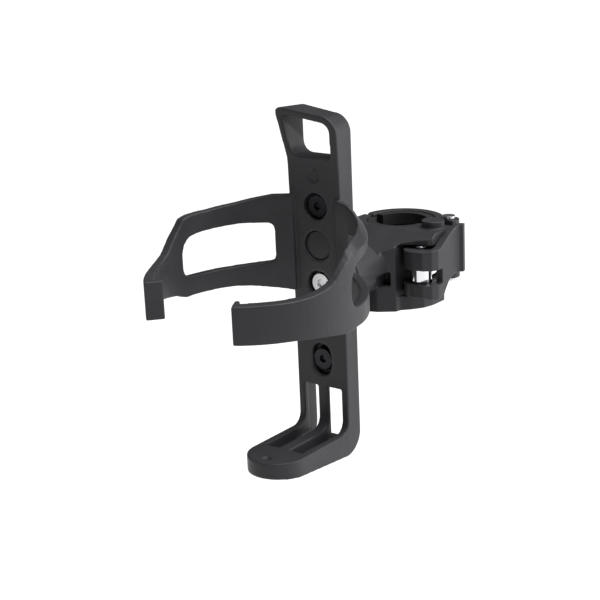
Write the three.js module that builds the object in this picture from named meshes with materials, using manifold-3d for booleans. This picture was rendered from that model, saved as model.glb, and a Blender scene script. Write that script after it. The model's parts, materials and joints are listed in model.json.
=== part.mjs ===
// Water bottle cage with a swivelling quick-release tube clamp.
// Millimetres. X right, Y away from the bottle, Z up.
// Modelled with the foot near Z 0 and the bottle face of the spine at Y 0, then moved so the
// tube's axis at the middle of the clamp is the origin.
import * as THREE from 'three';
import { mergeVertices } from 'three/addons/utils/BufferGeometryUtils.js';
import Module from 'manifold-3d';

const wasm = await Module();
wasm.setup();

// ---- driving dimensions ----
const gap = 0.3;                 // clearance between separate pieces
const spineHalf = 12.5;          // half width of the spine
const spineDeep = 8.5;           // depth of the channel
const web = 4.6;                 // thickness of its bottle face
const slotWeb = 2;               // the same between the long slots
const flange = 2.9;              // thickness of its sides
const leanFrom = 80;             // above this height the bottle face leans forward
const lean = 1.3;                // by this much at the bottom of the loop
const topZ = 141;                // top of the loop
const sillZ = 122;               // bottom of the loop window
const upperHoleZ = 102;          // standard holes, 64 mm apart
const lowerSlotZ = 38;
const hubZ = 70;                 // swivel axis, midway between them
const plugZ = 86;                // round plug in the face
const bottleR = 39.4;            // inside radius of the arms
const bottleY = -39.7;           // bottle axis
const armThick = 3.8;
const armEnd = { right: 152.5, left: 138 };   // degrees round from the spine
const lipIn = 3.4;               // how far the lip at the end of an arm stands inwards
const footReach = 31;            // centre of the rounded toe, forward of the face
const footHigh = 8.4;
const heelLow = -1.6;            // underside of the foot at the heel, which rises to the toe
const toeLow = 1.9;
const slotTopZ = 26.5;           // top of the two long slots
const slotFloorZ = 3.4;          // their closed bottom along the foot
const tube = { x: 0, y: 60 };    // axis of the clamped tube
const tubeR = 11.1;
const jawLow = 50.8;
const jawHigh = 84;
const originZ = 68.4;            // height of the origin on the tube's axis
const ringOut = 18.6;
const ringIn = 14.7;
const hinge = { x: -22.5, y: 60 };
const hingeHigh = 78.6;          // top of the hinge knuckles
const knuckleHigh = 8.6;         // height of each outer one
const pinAt = { x: 21.8, y: 63.5 };   // swing bolt pin
const camAt = { x: 21.8, y: 41.8 };   // lever pin
const boltZ = 66.9;
const earLow = 60.4;             // underside of the ears that hold that pin
const headLow = 58.4;            // lever head, between the floor and the roof of its seat
const headHigh = 77.9;
const seatLow = 57;
const seatHigh = 79.3;

// ---- helpers ----
function solid(geometry) {
  const bare = geometry.clone();
  bare.deleteAttribute('normal');
  bare.deleteAttribute('uv');
  const welded = mergeVertices(bare, 1e-4);
  return new wasm.Manifold(new wasm.Mesh({
    numProp: 3,
    vertProperties: new Float32Array(welded.attributes.position.array),
    triVerts: new Uint32Array(welded.index.array),
  }));
}

// Straight extrusion of an outline. The outline is given in the plane across the axis:
// (x, y) for 'z', (x, z) for 'y', (y, z) for 'x'.
function prism(outline, axis, from, to) {
  const shape = new THREE.Shape(outline.map(([u, v]) => new THREE.Vector2(u, v)));
  const geometry = new THREE.ExtrudeGeometry(shape, { depth: to - from, bevelEnabled: false });
  geometry.translate(0, 0, from);
  const place = new THREE.Matrix4();
  if (axis === 'x') {
    place.set(0, 0, 1, 0, 1, 0, 0, 0, 0, 1, 0, 0, 0, 0, 0, 1);
  }
  if (axis === 'y') {
    place.set(1, 0, 0, 0, 0, 0, -1, 0, 0, 1, 0, 0, 0, 0, 0, 1);
  }
  geometry.applyMatrix4(place);
  if (axis === 'y') {
    geometry.translate(0, from + to, 0);
  }
  return solid(geometry);
}

function box(x0, x1, y0, y1, z0, z1) {
  return prism([[x0, y0], [x1, y0], [x1, y1], [x0, y1]], 'z', z0, z1);
}

function circle(u, v, r, count = 40, start = 0) {
  const points = [];
  for (let i = 0; i < count; i += 1) {
    const a = start + (i / count) * Math.PI * 2;
    points.push([u + r * Math.cos(a), v + r * Math.sin(a)]);
  }
  return points;
}

function arc(u, v, r, fromDeg, toDeg, count) {
  const points = [];
  for (let i = 0; i <= count; i += 1) {
    const a = THREE.MathUtils.degToRad(fromDeg + (toDeg - fromDeg) * (i / count));
    points.push([u + r * Math.cos(a), v + r * Math.sin(a)]);
  }
  return points;
}

function disc(axis, u, v, r, from, to, count = 40) {
  return prism(circle(u, v, r, count), axis, from, to);
}

function hexagon(axis, u, v, acrossFlats, from, to) {
  return prism(circle(u, v, acrossFlats / Math.sqrt(3), 6, Math.PI / 6), axis, from, to);
}

function stadium(u, v, r, half) {
  return [...arc(u, v + half, r, 0, 180, 12), ...arc(u, v - half, r, 180, 360, 12)];
}

function roundedBox(u0, u1, v0, v1, r, count = 5) {
  return [
    ...arc(u1 - r, v0 + r, r, -90, 0, count),
    ...arc(u1 - r, v1 - r, r, 0, 90, count),
    ...arc(u0 + r, v1 - r, r, 90, 180, count),
    ...arc(u0 + r, v0 + r, r, 180, 270, count),
  ];
}

function interpolate(table, at) {
  if (at <= table[0][0]) {
    return table[0][1];
  }
  for (let i = 1; i < table.length; i += 1) {
    if (at <= table[i][0]) {
      const [a0, v0] = table[i - 1];
      const [a1, v1] = table[i];
      return v0 + (v1 - v0) * (at - a0) / (a1 - a0);
    }
  }
  return table[table.length - 1][1];
}

// A curved slab round the bottle axis between two heights that change with the angle.
// The upper one can differ between its inner and its outer face.
function band(angles, low, high, r0, r1, side) {
  const vertices = [];
  const faces = [];
  for (const angle of angles) {
    const a = THREE.MathUtils.degToRad(angle);
    for (const r of [r0, r1]) {
      const x = side * r * Math.sin(a);
      const y = bottleY + r * Math.cos(a);
      vertices.push([x, y, low(angle)], [x, y, high(angle, r === r1)]);
    }
  }
  const quad = (a, b, c, d) => faces.push([a, b, c], [a, c, d]);
  const last = (angles.length - 1) * 4;
  quad(0, 1, 3, 2);
  quad(last, last + 2, last + 3, last + 1);
  for (let i = 0; i < angles.length - 1; i += 1) {
    const p = i * 4;
    const q = p + 4;
    quad(p, q, q + 1, p + 1);
    quad(p + 2, p + 3, q + 3, q + 2);
    quad(p, p + 2, q + 2, q);
    quad(p + 1, q + 1, q + 3, p + 3);
  }
  const turned = side > 0 ? faces : faces.map(([a, b, c]) => [a, c, b]);
  return new wasm.Manifold(new wasm.Mesh({
    numProp: 3,
    vertProperties: new Float32Array(vertices.flat()),
    triVerts: new Uint32Array(turned.flat()),
  }));
}

function steps(from, to, count) {
  return Array.from({ length: count + 1 }, (unused, i) => from + (to - from) * (i / count));
}

function joined(parts) {
  return parts.reduce((sum, part) => sum.add(part));
}

function without(body, cutters) {
  return cutters.reduce((rest, cutter) => rest.subtract(cutter), body);
}

// ---- the cage ----
const innerHalf = spineHalf - flange;

function cageSpine() {
  // Side view of the bent channel: upright, rounded heel, foot that thins to the toe.
  const side = [
    [-lean, sillZ],
    [0, leanFrom],
    ...arc(-5, footHigh + 5, 5, 0, -90, 6),
    [-footReach - spineHalf - 1, footHigh],
    [-footReach - spineHalf - 1, toeLow],
    ...arc(spineDeep - 9.5, heelLow + 9.5, 9.5, -90, 0, 10),
    [spineDeep, sillZ],
  ];
  const plan = [
    ...arc(0, -footReach, spineHalf, 180, 360, 28),
    [spineHalf, spineDeep],
    [-spineHalf, spineDeep],
  ];
  const block = prism(side, 'x', -spineHalf, spineHalf).intersect(prism(plan, 'z', -5, sillZ + 1));
  // Hollow behind the face.
  const hollow = [
    [web, sillZ - 3.2],
    [web, slotTopZ + 4],
    [slotWeb, slotTopZ + 1.5],
    [slotWeb, slotFloorZ],
    [spineDeep + 1, slotFloorZ],
    [spineDeep + 1, sillZ - 3.2],
  ];
  return block.subtract(prism(hollow, 'x', -innerHalf, innerHalf));
}

function cageLoop() {
  const outer = [
    ...arc(spineHalf - 7.5, topZ - 9.7, 7.5, 0, 90, 8),
    ...arc(-spineHalf + 2.5, topZ - 2.5, 2.5, 90, 180, 5),
    [-spineHalf, sillZ - 1],
    [spineHalf, sillZ - 1],
  ];
  const [left, right, high] = [-10.6, 9, topZ - 2.9];
  const window = [
    ...arc(right - 1.2, sillZ + 1.2, 1.2, -90, 0, 4),
    ...arc(right - 4.5, high - 6.5, 4.5, 0, 90, 6),
    ...arc(left + 1.5, high - 1.5, 1.5, 90, 180, 4),
    ...arc(left + 4.5, sillZ + 4.5, 4.5, 180, 270, 6),
  ];
  const frame = prism(outer, 'y', 0, spineDeep).subtract(prism(window, 'y', -1, spineDeep + 1));
  // The front leans forward with the spine's face, and its left edge leans outwards as well.
  return frame.warp((v) => {
    const rise = Math.max(0, (v[2] - sillZ) / (topZ - sillZ));
    const leftness = Math.min(1, Math.max(0, -v[0] / spineHalf));
    const front = 1 - v[1] / spineDeep;
    v[0] -= 5.2 * rise ** 1.2 * leftness * front;
    v[1] -= (lean + 0.9 * rise) * front;
  });
}

// Heights round the arms by angle from the spine. The right arm's top edge falls outwards near
// the spine. The left arm is a little taller at its shoulder and raised below, before its end.
const armTop = [
  [14, 106], [28, 105.6], [35, 104.7], [42, 103.8], [49, 102.8], [60, 101.9], [70, 100.9], [77, 99.9],
  [83, 98.4], [87, 95.9], [92, 93.2], [97, 90.2], [100, 88.4], [106, 87], [112, 86], [120, 85.4],
  [150, 84.9],
];
const armFall = [[20, 1], [32, 4.2], [58, 4.6], [76, 2.6], [88, 1], [100, 0.5]];
const armLow = [
  [14, 66.2], [22, 66.8], [31, 67.3], [40, 68], [50, 68.5], [80, 68.3], [90, 67.7], [100, 68.7],
  [110, 69.6], [123, 70.2], [150, 69.9],
];
const leftTop = [[66, 0], [76, 1], [84, 2.2], [88, 1.4], [98, 0]];
const leftRaise = [[84, 0], [92, 2.2], [112, 2.6], [126, 0]];
const windowTop = [
  [26.6, 91], [27.2, 92.8], [28, 93.6], [30, 94.2], [47, 94.4], [62, 93.7], [74, 93.1], [79, 92.4],
  [82, 91.2], [84, 89.5], [85.8, 86],
];
const windowLow = [
  [26.6, 81], [27.2, 79.6], [28, 78.6], [30, 78], [40, 77.2], [54, 76.5], [72, 76.1], [81, 76.1],
  [83, 76.6], [84.8, 78], [85.8, 80],
];

function cageArm(side) {
  const end = side > 0 ? armEnd.right : armEnd.left;
  const outerR = bottleR + armThick;
  const low = (a) => interpolate(armLow, a) + (side > 0 ? 0 : interpolate(leftRaise, a));
  const high = (a, outer) => {
    if (side < 0) {
      return interpolate(armTop, a) + interpolate(leftTop, a);
    }
    return interpolate(armTop, a) - (outer ? interpolate(armFall, a) : 0);
  };
  const arm = band([...steps(15, 80, 20), ...steps(84, end, 20)], low, high, bottleR, outerR, side);
  const lip = band(steps(end - 3, end, 2), low, high, bottleR - lipIn, outerR, side);
  const opening = band([26.6, 27.2, 28, ...steps(30, 82, 18), 83, 84, 84.8, 85.8],
    (a) => interpolate(windowLow, a), (a) => interpolate(windowTop, a),
    bottleR - 3, outerR + 3, side);
  // The left arm closes in a little more than the right one.
  const closing = side > 0 ? 0 : 1.4;
  return arm.add(lip).subtract(opening).warp((v) => {
    v[0] += closing * Math.min(1, Math.max(0, (-22 - v[1]) / 30));
  });
}

function cageBody() {
  const body = joined([cageSpine(), cageLoop(), cageArm(1), cageArm(-1)]);
  const cutters = [
    disc('y', 0, upperHoleZ, 5.5, -5, 3.2),
    disc('y', 0, upperHoleZ, 2.8, -5, 9),
    disc('y', 0, hubZ, 5.5, -5, 3.7),
    disc('y', 0, hubZ, 2.8, -5, 9),
    disc('y', 0, plugZ, 6.1, -5, 2.2),
    prism(stadium(0, lowerSlotZ, 4.75, 2.2), 'y', -5, 3.2),
    prism(stadium(0, lowerSlotZ, 2.8, 2.2), 'y', -5, 9),
    disc('y', 0, 114.6, 3, -5, -0.4, 24),
    disc('z', 0, -footReach - 7.5, 1.9, footHigh - 0.8, footHigh + 3, 20),
  ];
  for (const [x0, x1] of [[-9.3, -2.5], [2.5, 9.3]]) {
    // Long slot that runs down the face, and on along the foot as a groove.
    cutters.push(box(x0, x1, 4 - footReach, slotWeb + 0.2, slotFloorZ, slotTopZ));
  }
  return without(body, cutters);
}

// ---- what joins the cage to the clamp ----
function adapterPlate() {
  const plate = prism(roundedBox(-9.2, 9.2, 30, 110, 3), 'y', web + gap, web + gap + 3);
  const boss = disc('y', 0, hubZ, 9.2, web + gap + 1, 11.2);
  return without(plate.add(boss), [
    disc('y', 0, hubZ, 2.8, 0, 20),
    disc('y', 0, upperHoleZ, 2.8, 0, 20),
    disc('y', 0, lowerSlotZ, 2.8, 0, 20),
  ]);
}

function frictionDisc() {
  const ring = disc('y', 0, hubZ, 10.6, 11.5, 12.7, 48).subtract(disc('y', 0, hubZ, 3, 11, 13));
  const notches = steps(0, 330, 11).map((deg) => {
    const a = THREE.MathUtils.degToRad(deg);
    return disc('y', 10.9 * Math.cos(a), hubZ + 10.9 * Math.sin(a), 0.9, 11, 13, 10);
  });
  return without(ring, notches);
}

function mountScrew(z) {
  const head = disc('y', 0, z, 4.4, 0.9, 2.9);
  const shank = disc('y', 0, z, 2.5, 2.5, 12.4, 24);
  return head.add(shank).subtract(hexagon('y', 0, z, 3, 0, 2.2));
}

function mountNut(z) {
  return hexagon('y', 0, z, 8, web + 2 * gap + 3, web + 2 * gap + 6.6)
    .subtract(disc('y', 0, z, 2.8, 0, 20, 24));
}

function pivotBolt() {
  const head = disc('y', 0, hubZ, 4.2, 1.3, 2.65);
  const shank = disc('y', 0, hubZ, 2.5, 2, 45.2, 24);
  return head.add(shank).subtract(hexagon('y', 0, hubZ, 3, 0, 2.2));
}

function pivotWasher() {
  return disc('y', 0, hubZ, 5.1, 2.9, 3.4).subtract(disc('y', 0, hubZ, 2.75, 2, 4));
}

function pivotNut() {
  return hexagon('y', 0, hubZ, 8, 40.6, 44.4).subtract(disc('y', 0, hubZ, 2.75, 40, 46, 24));
}

// ---- the clamp ----
const splitGap = 0.6;

function frontJaw() {
  const rear = tube.y - splitGap;
  const left = [
    [-18.6, rear], [-18.6, 49], [-15.2, 36.6], [-8, 30.2], [-4, 29.5], [3, 29.5], [7, 30.6],
  ];
  // Seat round the lever's head. It falls away to the side so that the head slides off it.
  const seat = [
    [13.5, 35], [13.5, 49.6], [20, 49.8], [22.4, 51.6], [25.4, 55.7], [26.6, 57.7], [26.6, rear],
  ];
  const floor = [[13.5, 35], [14, 37.4], [17.4, 40.8], [20.6, 45.4], [21.8, 50], [22.4, rear]];
  const roof = [[13.5, 35], [14.2, 37.4], [20.4, 39.7], [26, 41], [27.4, 42.4], [27.4, rear]];
  const body = joined([
    prism([...left, ...seat], 'z', jawLow + 4, jawHigh),
    prism([...left, ...floor], 'z', jawLow, seatLow),
    prism([...left, ...roof], 'z', seatHigh, jawHigh),
    disc('z', 20.2, 54, 4.8, seatHigh, jawHigh + 3, 36).subtract(box(10, 40, rear, 70, 70, 100)),
  ]);
  const knuckles = [
    disc('z', hinge.x, hinge.y, 4.6, jawLow, jawLow + knuckleHigh, 28),
    disc('z', hinge.x, hinge.y, 4.6, hingeHigh - knuckleHigh, hingeHigh, 28),
    box(hinge.x, -17, hinge.y - 4.6, rear, jawLow, jawLow + knuckleHigh),
    box(hinge.x, -17, hinge.y - 4.6, rear, hingeHigh - knuckleHigh, hingeHigh),
  ];
  const neck = disc('y', 0, hubZ, 10.8, 13, 34, 44);
  const cutters = [
    disc('z', tube.x, tube.y, ringIn, 40, 100, 64),
    // The top slopes down from the ring to the front.
    prism([[29.3, 75.4], [46, 84.6], [46, 95], [29.3, 95]], 'x', -40, 40),
    // Slot that lets the swing bolt fold out.
    box(pinAt.x - 3.1, 40, 36, 62, boltZ - 3.4, boltZ + 3.4),
    // The seat's outer wall stops above the ring's lower edge.
    box(22, 40, 49, 62, 40, earLow + 1.6),
    // Pocket in the sloping front.
    box(7.2, 11.6, 26, 37.4, boltZ - 5, boltZ + 1),
    // Pivot bore and nut recess, reached from the tube side.
    disc('y', 0, hubZ, 2.8, 10, 60, 28),
    hexagon('y', 0, hubZ, 8.6, 40.3, 60),
    // Hinge pin bore and room for the middle knuckle.
    disc('z', hinge.x, hinge.y, 1.8, 40, 100, 24),
    disc('z', hinge.x, hinge.y, 5.2, jawLow + knuckleHigh, hingeHigh - knuckleHigh, 32),
    // Pad keys.
    box(-3, 3, 40, 48, jawLow - 1, jawLow + 4),
  ];
  return without(joined([body, neck, ...knuckles]), cutters);
}

function rearJaw() {
  const front = tube.y + splitGap;
  const trim = THREE.MathUtils.radToDeg(Math.asin(splitGap / ringOut));
  const outline = arc(tube.x, tube.y, ringOut, trim, 180 - trim, 40);
  const body = prism(outline, 'z', jawLow, jawHigh);
  const middle = [jawLow + knuckleHigh + gap, hingeHigh - knuckleHigh - gap];
  const knuckle = disc('z', hinge.x, hinge.y, 4.6, ...middle, 28);
  const knuckleArm = box(hinge.x, -16.5, hinge.y - 0.5, hinge.y + 4.6, ...middle);
  const ear = disc('z', pinAt.x, pinAt.y, 4.6, earLow, jawHigh + 1.6, 32);
  const earArm = box(13, pinAt.x, front, pinAt.y + 4.6, earLow, jawHigh);
  const cutters = [
    disc('z', tube.x, tube.y, ringIn, 40, 100, 64),
    disc('z', pinAt.x, pinAt.y, 1.8, 40, 100, 24),
    box(10, 40, 50, front, 40, 100),
    box(pinAt.x - 4.6, 40, 50, 80, boltZ - 3.1, boltZ + 3.1),
    disc('z', hinge.x, hinge.y, 1.8, 40, 100, 24),
    box(-3, 3, 72, 80, jawLow - 1, jawLow + 4),
  ];
  const round = without(body, [
    disc('z', pinAt.x, pinAt.y, 5.2, 40, earLow, 32),
    disc('z', hinge.x, hinge.y, 4.9, 40, middle[0], 32),
    disc('z', hinge.x, hinge.y, 4.9, middle[1], 100, 32),
  ]);
  return without(joined([round, knuckle, knuckleArm, ear, earArm]), cutters);
}

function pad(side) {
  const [from, to] = side < 0 ? [192, 348] : [12, 168];
  const outline = [
    ...arc(tube.x, tube.y, ringIn - gap, from, to, 36),
    ...arc(tube.x, tube.y, tubeR, to, from, 36),
  ];
  const liner = prism(outline, 'z', jawLow + gap, jawHigh - gap);
  const [keyFrom, keyTo] = side < 0 ? [43.6, 46.2] : [73.6, 76.4];
  const key = box(-2.7, 2.7, keyFrom, keyTo, jawLow + gap, jawLow + 3.7);
  const grooves = steps(jawLow + 6, jawHigh - 6, 5)
    .map((z) => disc('z', tube.x, tube.y, tubeR + 0.5, z - 0.6, z + 0.6, 48));
  return without(liner.add(key), grooves);
}

function hingePin() {
  const shaft = disc('z', hinge.x, hinge.y, 1.5, jawLow - 0.6, hingeHigh + 0.6, 24);
  const lowHead = disc('z', hinge.x, hinge.y, 2.6, jawLow - 1.6, jawLow - gap, 24);
  const topHead = disc('z', hinge.x, hinge.y, 2.6, hingeHigh + gap, hingeHigh + 1.6, 24);
  return joined([shaft, lowHead, topHead]);
}

function swingPin() {
  const shaft = disc('z', pinAt.x, pinAt.y, 1.5, earLow - 1, jawHigh + 2.4, 24);
  const head = disc('z', pinAt.x, pinAt.y, 2.9, jawHigh + 1.6 + gap, jawHigh + 3, 24);
  const foot = disc('z', pinAt.x, pinAt.y, 2.6, earLow - 1.4, earLow - gap, 24);
  return joined([shaft, head, foot]);
}

function swingBolt() {
  const eye = disc('z', pinAt.x, pinAt.y, 4.2, boltZ - 2.8, boltZ + 2.8, 32);
  const rod = disc('y', pinAt.x, boltZ, 2.4, camAt.y + 2, pinAt.y - 2.5, 24);
  return eye.add(rod).subtract(disc('z', pinAt.x, pinAt.y, 1.8, 40, 100, 24));
}

function barrelNut() {
  const drum = disc('z', camAt.x, camAt.y, 4.5, boltZ - 2.8, boltZ + 2.8, 40);
  return without(drum, [
    disc('y', camAt.x, boltZ, 2.7, camAt.y + 1.7, 60, 24),
    disc('z', camAt.x, camAt.y, 1.55, 40, 100, 24),
  ]);
}

function camPin() {
  const shaft = disc('z', camAt.x, camAt.y, 1.25, headLow - 0.6, headHigh + 0.6, 24);
  const low = disc('z', camAt.x, camAt.y, 2.3, headLow - 1.1, headLow - gap, 24);
  const top = disc('z', camAt.x, camAt.y, 2.3, headHigh + gap, headHigh + 1.1, 24);
  return joined([shaft, low, top]);
}

function lever() {
  const head = disc('z', camAt.x, camAt.y, 7.2, headLow, headHigh, 44);
  const blade = prism([
    [21.8, 34.6], [26.8, 35.2], [30, 37.2], [31.4, 40.2], [31.4, 54], [32, 55.6], [33.4, 56.4],
    [33, 58.4], [31, 57.9], [29, 56], [28.4, 53], [28.4, 48.2], [27, 46], [21.8, 49],
  ], 'z', 50, 95);
  const sideView = [
    [34, headLow], [40.5, 57.4], [45, 59.6], [48.5, 63.6], [52, 65.4], [60, 65.8], [60, 86.4],
    [55, 85.8], [50, 83.4], [46, 81], [42.6, seatHigh - gap], [34, headHigh],
  ];
  const shaped = blade.intersect(prism(sideView, 'x', 10, 50));
  const cutters = [
    box(10, 28.2, 30, 50, boltZ - 3.1, boltZ + 3.1),
    box(10, 40, 30, 43.2, boltZ - 3.1, boltZ + 3.1),
    // The blade is taller than the head only outside the seat.
    box(10, 27.9, 30, 62, 40, headLow),
    box(10, 27.9, 30, 62, headHigh, 100),
    disc('z', camAt.x, camAt.y, 1.55, 40, 100, 24),
  ];
  return without(head.add(shaped), cutters);
}

// ---- the group ----
const plastic = { color: 0x222226, roughness: 0.55, metalness: 0 };
const nylon = { color: 0x2b2b2f, roughness: 0.5, metalness: 0 };
const rubber = { color: 0x141415, roughness: 0.85, metalness: 0 };
const steel = { color: 0xb9bbbe, roughness: 0.3, metalness: 1 };
const chrome = { color: 0xe2e3e5, roughness: 0.12, metalness: 1 };
const blackSteel = { color: 0x2a2a2c, roughness: 0.4, metalness: 1 };

const group = new THREE.Group();
group.name = 'water_bottle_cage';

function place(name, body, look) {
  const mesh = body.getMesh();
  const geometry = new THREE.BufferGeometry();
  geometry.setAttribute('position', new THREE.BufferAttribute(new Float32Array(mesh.vertProperties), 3));
  geometry.setIndex(new THREE.BufferAttribute(new Uint32Array(mesh.triVerts), 1));
  geometry.translate(-tube.x, -tube.y, -originZ);
  geometry.computeVertexNormals();
  const piece = new THREE.Mesh(geometry, new THREE.MeshStandardMaterial(look));
  piece.name = name;
  group.add(piece);
}

place('cage_body', cageBody(), plastic);
place('spine_plug', disc('y', 0, plugZ, 5.8, 0.9, 1.9), nylon);
place('adapter_plate', adapterPlate(), nylon);
place('mount_screw_upper', mountScrew(upperHoleZ), blackSteel);
place('mount_screw_lower', mountScrew(lowerSlotZ), blackSteel);
place('mount_nut_upper', mountNut(upperHoleZ), steel);
place('mount_nut_lower', mountNut(lowerSlotZ), steel);
place('friction_disc', frictionDisc(), rubber);
place('pivot_bolt', pivotBolt(), steel);
place('pivot_washer', pivotWasher(), blackSteel);
place('pivot_nut', pivotNut(), steel);
place('jaw_front', frontJaw(), plastic);
place('jaw_rear', rearJaw(), plastic);
place('pad_front', pad(-1), rubber);
place('pad_rear', pad(1), rubber);
place('hinge_pin', hingePin(), steel);
place('swing_pin', swingPin(), steel);
place('swing_bolt', swingBolt(), chrome);
place('barrel_nut', barrelNut(), chrome);
place('lever', lever(), nylon);
place('lever_pin', camPin(), steel);

export default group;
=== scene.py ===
# Looks for the water bottle cage: materials, softened moulded pieces, light and camera.
import json
import math

import bmesh
import bpy
from mathutils import Matrix, Vector


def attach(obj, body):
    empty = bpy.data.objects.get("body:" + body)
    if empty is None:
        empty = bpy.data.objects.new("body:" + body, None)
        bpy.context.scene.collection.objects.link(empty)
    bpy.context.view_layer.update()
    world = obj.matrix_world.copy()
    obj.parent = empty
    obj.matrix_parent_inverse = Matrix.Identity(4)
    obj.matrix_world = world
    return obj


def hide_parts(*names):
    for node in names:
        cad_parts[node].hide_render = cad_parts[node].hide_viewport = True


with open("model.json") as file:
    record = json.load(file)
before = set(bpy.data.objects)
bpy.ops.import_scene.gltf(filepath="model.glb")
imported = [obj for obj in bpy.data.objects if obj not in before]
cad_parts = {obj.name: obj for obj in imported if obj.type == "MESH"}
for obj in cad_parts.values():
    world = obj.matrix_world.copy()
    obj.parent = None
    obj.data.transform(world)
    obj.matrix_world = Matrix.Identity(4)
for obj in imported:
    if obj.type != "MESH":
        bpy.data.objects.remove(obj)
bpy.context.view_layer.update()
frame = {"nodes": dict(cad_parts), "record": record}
nodes = frame["nodes"]

MM = 0.001
WELD = 2e-6                       # vertices closer than this are one, in metres
FLAT_ANGLE = 0.6                  # facets closer than this, in degrees, are one flat face
PLASTIC_SPECULAR = 0.22
GRAIN_STRENGTH = 0.35             # bump of the moulded grain
BRUSH_STRENGTH = 0.25             # bump of the metal's brushing
CLOUD_SCALE = 55                  # noise scales, in cycles a metre
SMEAR_SCALE = 160
STREAK_SCALE = 900
METAL_CLOUD_SCALE = 120

FLOOR_SIZE = 60
FLOOR_HEIGHT = -0.42
FLOOR_TONE = (0.68, 0.68, 0.68, 1)
BACKDROP_SEEN = 1.1               # backdrop strength to the camera
BACKDROP_LIGHT = 0.08             # and to everything it lights

CAMERA_PLACE = (0.35308, -0.52482, 0.17243)
CAMERA_YAW = 37.98                # degrees
CAMERA_PITCH = -16.88
CAMERA_ROLL = -2.51
LENS = 90.9
SENSOR = 36


# ---------------------------------------------------------------- materials
def new_material(name):
    material = bpy.data.materials.new(name)
    material.use_nodes = True
    tree = material.node_tree
    tree.nodes.clear()
    out = tree.nodes.new("ShaderNodeOutputMaterial")
    shader = tree.nodes.new("ShaderNodeBsdfPrincipled")
    tree.links.new(shader.outputs["BSDF"], out.inputs["Surface"])
    return material, tree, shader


def noise(tree, scale, detail=4.0, rough=0.55, stretch=(1, 1, 1)):
    place = tree.nodes.new("ShaderNodeTexCoord")
    mapping = tree.nodes.new("ShaderNodeMapping")
    mapping.inputs["Scale"].default_value = stretch
    texture = tree.nodes.new("ShaderNodeTexNoise")
    texture.inputs["Scale"].default_value = scale
    texture.inputs["Detail"].default_value = detail
    texture.inputs["Roughness"].default_value = rough
    tree.links.new(place.outputs["Object"], mapping.inputs["Vector"])
    tree.links.new(mapping.outputs["Vector"], texture.inputs["Vector"])
    return texture.outputs["Fac"]


def spread(tree, value, low, high, start=0.3, end=0.7):
    node = tree.nodes.new("ShaderNodeMapRange")
    node.inputs["From Min"].default_value = start
    node.inputs["From Max"].default_value = end
    node.inputs["To Min"].default_value = low
    node.inputs["To Max"].default_value = high
    tree.links.new(value, node.inputs["Value"])
    return node.outputs["Result"]


def blend_colour(tree, factor, first, second):
    node = tree.nodes.new("ShaderNodeMix")
    node.data_type = "RGBA"
    node.inputs["A"].default_value = (*first, 1)
    node.inputs["B"].default_value = (*second, 1)
    tree.links.new(factor, node.inputs["Factor"])
    return node.outputs["Result"]


def bump(tree, shader, height, strength, distance):
    node = tree.nodes.new("ShaderNodeBump")
    node.inputs["Strength"].default_value = strength
    node.inputs["Distance"].default_value = distance
    tree.links.new(height, node.inputs["Height"])
    tree.links.new(node.outputs["Normal"], shader.inputs["Normal"])


def plastic(name, dark, light, rough_low, rough_high, grain, depth):
    """Two close tones in soft clouds, smeared gloss and a fine moulded grain."""
    material, tree, shader = new_material(name)
    cloud = noise(tree, CLOUD_SCALE, 5)
    fine = noise(tree, grain, 3, 0.6)
    colour = blend_colour(tree, spread(tree, cloud, 0, 1), dark, light)
    tree.links.new(colour, shader.inputs["Base Color"])
    smear = noise(tree, SMEAR_SCALE, 6, 0.6, (1, 1, 0.25))
    tree.links.new(spread(tree, smear, rough_low, rough_high), shader.inputs["Roughness"])
    shader.inputs["Specular IOR Level"].default_value = PLASTIC_SPECULAR
    bump(tree, shader, fine, GRAIN_STRENGTH, depth)
    return material


def metal(name, colour, second, rough_low, rough_high, stretch, depth=0.00002):
    """Two close tones with gloss and bump in fine streaks."""
    material, tree, shader = new_material(name)
    streak = noise(tree, STREAK_SCALE, 4, 0.6, stretch)
    cloud = noise(tree, METAL_CLOUD_SCALE, 4)
    mixed = blend_colour(tree, spread(tree, cloud, 0, 1), colour, second)
    tree.links.new(mixed, shader.inputs["Base Color"])
    shader.inputs["Metallic"].default_value = 1.0
    tree.links.new(spread(tree, streak, rough_low, rough_high), shader.inputs["Roughness"])
    bump(tree, shader, streak, BRUSH_STRENGTH, depth)
    return material


looks = {
    "black_plastic": plastic("moulded_plastic", (0.0235, 0.0225, 0.0252), (0.0300, 0.0290, 0.0320),
                             0.38, 0.50, 2600, 0.00004),
    "black_nylon": plastic("lever_nylon", (0.0255, 0.0245, 0.0270), (0.0320, 0.0310, 0.0338),
                           0.34, 0.46, 2200, 0.00004),
    "black_rubber": plastic("pad_rubber", (0.010, 0.010, 0.010), (0.016, 0.016, 0.016),
                            0.70, 0.86, 1500, 0.0001),
    "steel": metal("plain_steel", (0.56, 0.56, 0.57), (0.46, 0.46, 0.47), 0.24, 0.38, (1, 1, 0.2)),
    "black_steel": metal("black_steel", (0.030, 0.030, 0.033), (0.018, 0.018, 0.020),
                         0.20, 0.34, (1, 1, 1)),
    "chrome": metal("bright_chrome", (0.80, 0.80, 0.82), (0.70, 0.70, 0.72), 0.06, 0.16, (1, 1, 0.3)),
}
slot_of = {entry["node"]: entry["material_slot"] for entry in frame["record"]["subparts"]}
body_of = {
    node: body
    for body, members in frame["record"]["behaviour"]["bodies"].items()
    for node in members
}


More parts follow.
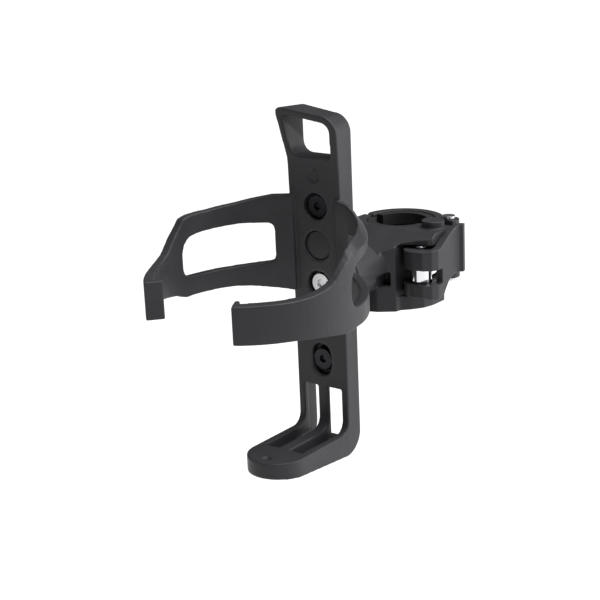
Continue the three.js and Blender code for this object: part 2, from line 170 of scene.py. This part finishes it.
# ---------------------------------------------------------------- pieces
def piece_from(node, name):
    """A copy of a CAD node's shape as a fresh mesh, welded and with flat areas joined."""
    mesh = bpy.data.meshes.new(name)
    work = bmesh.new()
    work.from_mesh(nodes[node].data)
    bmesh.ops.remove_doubles(work, verts=work.verts, dist=WELD)
    bmesh.ops.dissolve_limit(
        work, angle_limit=math.radians(FLAT_ANGLE), verts=work.verts, edges=work.edges)
    work.to_mesh(mesh)
    work.free()
    piece = bpy.data.objects.new(name, mesh)
    bpy.context.scene.collection.objects.link(piece)
    return piece


def finish_piece(piece, node):
    """Gives a piece its material, its slot, the body it rides on and the node it replaces."""
    piece.data.materials.clear()
    piece.data.materials.append(looks[slot_of[node]])
    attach(piece, body_of[node])
    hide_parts(node)


def moulded(node, voxel, rounds):
    """Even, slightly rounded edges all over, as on an injection-moulded piece."""
    piece = piece_from(node, node + "_moulded")
    remesh = piece.modifiers.new("even", "REMESH")
    remesh.mode = "VOXEL"
    remesh.voxel_size = voxel * MM
    remesh.use_smooth_shade = True
    relax = piece.modifiers.new("round", "SMOOTH")
    relax.factor = 0.5
    relax.iterations = rounds
    finish_piece(piece, node)


def machined(node, width, segments, angle=32):
    """Crisp piece with small broken edges."""
    piece = piece_from(node, node + "_turned")
    bevel = piece.modifiers.new("edge", "BEVEL")
    bevel.width = width * MM
    bevel.segments = segments
    bevel.limit_method = "ANGLE"
    bevel.angle_limit = math.radians(angle)
    bevel.use_clamp_overlap = True
    for face in piece.data.polygons:
        face.use_smooth = True
    normals = piece.modifiers.new("shade", "WEIGHTED_NORMAL")
    normals.keep_sharp = True
    finish_piece(piece, node)


# Voxel size in mm and rounds of smoothing of each moulded piece: full, then quick.
MOULDED = {
    "cage_body": ((0.36, 8), (0.6, 3)),
    "jaw_front": ((0.26, 5), (0.45, 3)),
    "jaw_rear": ((0.26, 5), (0.45, 3)),
    "lever": ((0.26, 5), (0.45, 3)),
}
# Edge width in mm and segments, then the pieces that have it.
MACHINED = [
    (0.3, 2, ("adapter_plate", "spine_plug")),
    (0.6, 4, ("mount_screw_upper", "mount_screw_lower")),
    (0.25, 2, ("pivot_bolt", "hinge_pin", "swing_pin", "lever_pin")),
    (0.25, 2, ("mount_nut_upper", "mount_nut_lower", "pivot_nut")),
    (0.1, 2, ("pivot_washer", "friction_disc")),
    (0.35, 2, ("swing_bolt", "barrel_nut")),
    (0.2, 2, ("pad_front", "pad_rear")),
]
for name, (full, fast) in MOULDED.items():
    moulded(name, *full)
for width, segments, names in MACHINED:
    for name in names:
        machined(name, width, segments)


# ---------------------------------------------------------------- stage, light, camera
def plane(name, size, height):
    mesh = bpy.data.meshes.new(name)
    half = size / 2
    mesh.from_pydata(
        [(-half, -half, height), (half, -half, height), (half, half, height), (-half, half, height)],
        [],
        [(0, 1, 2, 3)],
    )
    item = bpy.data.objects.new(name, mesh)
    bpy.context.scene.collection.objects.link(item)
    return item


floor = plane("floor", FLOOR_SIZE, FLOOR_HEIGHT)
floor_material, _, floor_shader = new_material("pale_floor")
floor_shader.inputs["Base Color"].default_value = FLOOR_TONE
floor_shader.inputs["Roughness"].default_value = 0.9
floor.data.materials.append(floor_material)


def area_light(name, place, target, size, power):
    data = bpy.data.lights.new(name, "AREA")
    data.shape = "RECTANGLE"
    data.size, data.size_y = size
    data.energy = power
    lamp = bpy.data.objects.new(name, data)
    lamp.location = place
    lamp.rotation_euler = (Vector(target) - Vector(place)).to_track_quat("-Z", "Y").to_euler()
    bpy.context.scene.collection.objects.link(lamp)


def sun(name, direction, strength, spread_deg):
    data = bpy.data.lights.new(name, "SUN")
    data.energy = strength
    data.angle = math.radians(spread_deg)
    lamp = bpy.data.objects.new(name, data)
    lamp.rotation_euler = Vector(direction).to_track_quat("-Z", "Y").to_euler()
    bpy.context.scene.collection.objects.link(lamp)


sun("sky_panel", (-0.35, -0.1, -1), 5.2, 60)
area_light("side_panel", (1.2, 0.75, 0.35), (0, -0.05, 0), (1.2, 1.2), 16)

world = bpy.data.worlds.new("studio")
world.use_nodes = True
backdrop = world.node_tree.nodes["Background"]
backdrop.inputs["Color"].default_value = (1, 1, 1, 1)
# The backdrop is seen white, and lights the object only faintly.
ray_kind = world.node_tree.nodes.new("ShaderNodeLightPath")
seen = ray_kind.outputs["Is Camera Ray"]
brightness = spread(world.node_tree, seen, BACKDROP_LIGHT, BACKDROP_SEEN, 0, 1)
world.node_tree.links.new(brightness, backdrop.inputs["Strength"])
bpy.context.scene.world = world
bpy.context.scene.view_settings.view_transform = "Standard"

yaw = math.radians(CAMERA_YAW)
pitch = math.radians(CAMERA_PITCH)
roll = math.radians(CAMERA_ROLL)
forward = Vector((-math.sin(yaw) * math.cos(pitch), math.cos(yaw) * math.cos(pitch), math.sin(pitch)))
level = Vector((math.cos(yaw), math.sin(yaw), 0))
upright = level.cross(forward)
right = math.cos(roll) * level + math.sin(roll) * upright
up = -math.sin(roll) * level + math.cos(roll) * upright
turn = Matrix((right, up, -forward)).transposed().to_4x4()
camera_data = bpy.data.cameras.new("camera")
camera_data.sensor_width = SENSOR
camera_data.lens = LENS
camera = bpy.data.objects.new("camera", camera_data)
camera.matrix_world = Matrix.Translation(CAMERA_PLACE) @ turn
bpy.context.scene.collection.objects.link(camera)
bpy.context.scene.camera = camera
